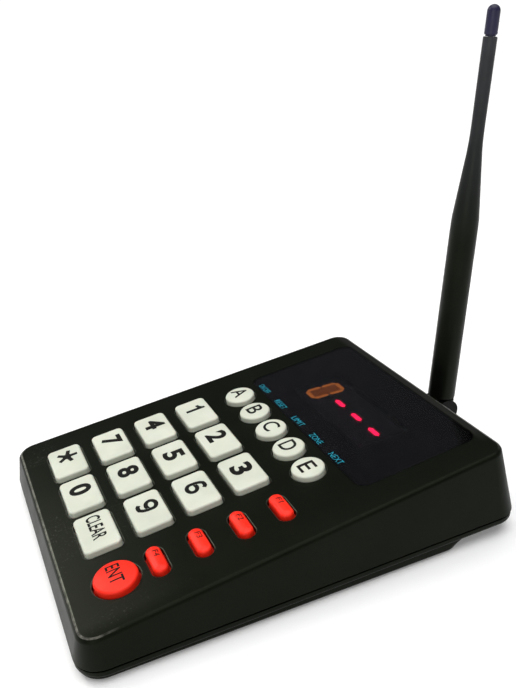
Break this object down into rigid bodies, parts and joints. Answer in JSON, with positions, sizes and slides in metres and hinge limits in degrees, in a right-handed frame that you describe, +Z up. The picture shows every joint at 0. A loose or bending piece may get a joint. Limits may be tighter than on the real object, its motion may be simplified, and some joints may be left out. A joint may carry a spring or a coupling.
{
  "type": "desktop keypad transmitter",
  "caption": "Wedge-shaped desktop keypad transmitter for a guest paging system, with display window, pressable keys and an elbow whip antenna on the rear wall.",
  "frame": {"origin": "on the table under the middle of the case, in the plane of the rubber feet", "axes": "+Z up, +Y towards the rear wall and its antenna, +X to the user's right"},
  "size_m": [0.122, 0.1928, 0.1742],
  "materials": {
    "case_plastic": "fine spark-eroded texture, satin sheen",
    "window_acrylic": "polished smoke-tinted acrylic",
    "key_white": "satin off-white moulding with printed legend",
    "key_red": "satin red moulding with printed legend",
    "silicone": "translucent grey silicone",
    "circuit_board": "green solder mask",
    "black_resin": "black moulding resin",
    "capacitor_sleeve": "dark blue sleeve",
    "switch_plastic": "black knob",
    "ribbon_pvc": "grey flat cable",
    "tinned_steel": "tinned sheet",
    "gilt_brass": "gold-plated brass",
    "elbow_plastic": "satin black moulding",
    "screw_steel": "zinc-plated steel",
    "whip_rubber": "satin black elastomer",
    "whip_tip_plastic": "satin blue-black moulding",
    "copper_wire": "copper wire",
    "feet_rubber": "matt black rubber"
  },
  "bodies": {
    "case": {"upper_shell": "case_plastic", "lower_shell": "case_plastic", "display_window": "window_acrylic", "dome_sheet": "silicone", "main_board": "circuit_board", "main_chip": "black_resin", "display_board": "circuit_board", "display_module": "black_resin", "board_header": "black_resin", "io_board": "circuit_board", "board_ribbon": "ribbon_pvc", "radio_module": "circuit_board", "radio_shield": "tinned_steel", "power_socket": "black_resin", "power_switch": "black_resin", "buzzer": "black_resin", "regulator": "black_resin", "capacitors": "capacitor_sleeve", "antenna_socket": "gilt_brass", "panel_nut": "gilt_brass", "coupling_nut": "gilt_brass", "rubber_feet": "feet_rubber", "case_screws": "screw_steel", "board_screws": "screw_steel"},
    "key_1_cap": {"key_1": "key_white"},
    "key_2_cap": {"key_2": "key_white"},
    "key_3_cap": {"key_3": "key_white"},
    "key_4_cap": {"key_4": "key_white"},
    "key_5_cap": {"key_5": "key_white"},
    "key_6_cap": {"key_6": "key_white"},
    "key_7_cap": {"key_7": "key_white"},
    "key_8_cap": {"key_8": "key_white"},
    "key_9_cap": {"key_9": "key_white"},
    "key_star_cap": {"key_star": "key_white"},
    "key_0_cap": {"key_0": "key_white"},
    "key_clear_cap": {"key_clear": "key_white"},
    "key_a_cap": {"key_a": "key_white"},
    "key_b_cap": {"key_b": "key_white"},
    "key_c_cap": {"key_c": "key_white"},
    "key_d_cap": {"key_d": "key_white"},
    "key_e_cap": {"key_e": "key_white"},
    "key_f1_cap": {"key_f1": "key_red"},
    "key_f2_cap": {"key_f2": "key_red"},
    "key_f3_cap": {"key_f3": "key_red"},
    "key_f4_cap": {"key_f4": "key_red"},
    "key_enter_cap": {"key_enter": "key_red"},
    "slider": {"switch_slider": "switch_plastic"},
    "elbow": {"elbow_base": "elbow_plastic", "elbow_pin": "screw_steel"},
    "whip": {"whip_sleeve": "whip_rubber", "whip_core": "copper_wire", "whip_tip": "whip_tip_plastic"}
  },
  "joints": [
    {"name": "key_1_press", "type": "slide", "parent": "case", "child": "key_1_cap", "axis": [0, 0.1184, -0.993], "range_m": [0, 0.0012], "stiffness_N_per_m": 400, "springref_m": -0.0005, "deforming": ["dome_sheet"]},
    {"name": "key_2_press", "type": "slide", "parent": "case", "child": "key_2_cap", "axis": [0, 0.1184, -0.993], "range_m": [0, 0.0012], "stiffness_N_per_m": 400, "springref_m": -0.0005, "deforming": ["dome_sheet"]},
    {"name": "key_3_press", "type": "slide", "parent": "case", "child": "key_3_cap", "axis": [0, 0.1184, -0.993], "range_m": [0, 0.0012], "stiffness_N_per_m": 400, "springref_m": -0.0005, "deforming": ["dome_sheet"]},
    {"name": "key_4_press", "type": "slide", "parent": "case", "child": "key_4_cap", "axis": [0, 0.1184, -0.993], "range_m": [0, 0.0012], "stiffness_N_per_m": 400, "springref_m": -0.0005, "deforming": ["dome_sheet"]},
    {"name": "key_5_press", "type": "slide", "parent": "case", "child": "key_5_cap", "axis": [0, 0.1184, -0.993], "range_m": [0, 0.0012], "stiffness_N_per_m": 400, "springref_m": -0.0005, "deforming": ["dome_sheet"]},
    {"name": "key_6_press", "type": "slide", "parent": "case", "child": "key_6_cap", "axis": [0, 0.1184, -0.993], "range_m": [0, 0.0012], "stiffness_N_per_m": 400, "springref_m": -0.0005, "deforming": ["dome_sheet"]},
    {"name": "key_7_press", "type": "slide", "parent": "case", "child": "key_7_cap", "axis": [0, 0.1184, -0.993], "range_m": [0, 0.0012], "stiffness_N_per_m": 400, "springref_m": -0.0005, "deforming": ["dome_sheet"]},
    {"name": "key_8_press", "type": "slide", "parent": "case", "child": "key_8_cap", "axis": [0, 0.1184, -0.993], "range_m": [0, 0.0012], "stiffness_N_per_m": 400, "springref_m": -0.0005, "deforming": ["dome_sheet"]},
    {"name": "key_9_press", "type": "slide", "parent": "case", "child": "key_9_cap", "axis": [0, 0.1184, -0.993], "range_m": [0, 0.0012], "stiffness_N_per_m": 400, "springref_m": -0.0005, "deforming": ["dome_sheet"]},
    {"name": "key_star_press", "type": "slide", "parent": "case", "child": "key_star_cap", "axis": [0, 0.1184, -0.993], "range_m": [0, 0.0012], "stiffness_N_per_m": 400, "springref_m": -0.0005, "deforming": ["dome_sheet"]},
    {"name": "key_0_press", "type": "slide", "parent": "case", "child": "key_0_cap", "axis": [0, 0.1184, -0.993], "range_m": [0, 0.0012], "stiffness_N_per_m": 400, "springref_m": -0.0005, "deforming": ["dome_sheet"]},
    {"name": "key_clear_press", "type": "slide", "parent": "case", "child": "key_clear_cap", "axis": [0, 0.1184, -0.993], "range_m": [0, 0.0012], "stiffness_N_per_m": 400, "springref_m": -0.0005, "deforming": ["dome_sheet"]},
    {"name": "key_a_press", "type": "slide", "parent": "case", "child": "key_a_cap", "axis": [0, 0.1184, -0.993], "range_m": [0, 0.0012], "stiffness_N_per_m": 400, "springref_m": -0.0005, "deforming": ["dome_sheet"]},
    {"name": "key_b_press", "type": "slide", "parent": "case", "child": "key_b_cap", "axis": [0, 0.1184, -0.993], "range_m": [0, 0.0012], "stiffness_N_per_m": 400, "springref_m": -0.0005, "deforming": ["dome_sheet"]},
    {"name": "key_c_press", "type": "slide", "parent": "case", "child": "key_c_cap", "axis": [0, 0.1184, -0.993], "range_m": [0, 0.0012], "stiffness_N_per_m": 400, "springref_m": -0.0005, "deforming": ["dome_sheet"]},
    {"name": "key_d_press", "type": "slide", "parent": "case", "child": "key_d_cap", "axis": [0, 0.1184, -0.993], "range_m": [0, 0.0012], "stiffness_N_per_m": 400, "springref_m": -0.0005, "deforming": ["dome_sheet"]},
    {"name": "key_e_press", "type": "slide", "parent": "case", "child": "key_e_cap", "axis": [0, 0.1184, -0.993], "range_m": [0, 0.0012], "stiffness_N_per_m": 400, "springref_m": -0.0005, "deforming": ["dome_sheet"]},
    {"name": "key_f1_press", "type": "slide", "parent": "case", "child": "key_f1_cap", "axis": [0, 0.1184, -0.993], "range_m": [0, 0.0012], "stiffness_N_per_m": 400, "springref_m": -0.0005, "deforming": ["dome_sheet"]},
    {"name": "key_f2_press", "type": "slide", "parent": "case", "child": "key_f2_cap", "axis": [0, 0.1184, -0.993], "range_m": [0, 0.0012], "stiffness_N_per_m": 400, "springref_m": -0.0005, "deforming": ["dome_sheet"]},
    {"name": "key_f3_press", "type": "slide", "parent": "case", "child": "key_f3_cap", "axis": [0, 0.1184, -0.993], "range_m": [0, 0.0012], "stiffness_N_per_m": 400, "springref_m": -0.0005, "deforming": ["dome_sheet"]},
    {"name": "key_f4_press", "type": "slide", "parent": "case", "child": "key_f4_cap", "axis": [0, 0.1184, -0.993], "range_m": [0, 0.0012], "stiffness_N_per_m": 400, "springref_m": -0.0005, "deforming": ["dome_sheet"]},
    {"name": "key_enter_press", "type": "slide", "parent": "case", "child": "key_enter_cap", "axis": [0, 0.1184, -0.993], "range_m": [0, 0.0012], "stiffness_N_per_m": 400, "springref_m": -0.0005, "deforming": ["dome_sheet"]},
    {"name": "power_switch_slide", "type": "slide", "parent": "case", "child": "slider", "axis": [1, 0, 0], "range_m": [0, 0.004]},
    {"name": "antenna_swivel", "type": "hinge", "parent": "case", "child": "elbow", "pos_m": [-0.0076, 0.08789, 0.01344], "axis": [0, 0.9998, 0.0175], "range_deg": [-90, 90]},
    {"name": "antenna_elbow", "type": "hinge", "parent": "elbow", "child": "whip", "pos_m": [-0.0076, 0.09439, 0.01355], "axis": [1, 0, 0], "range_deg": [-83.4, 6.6]}
  ]
}
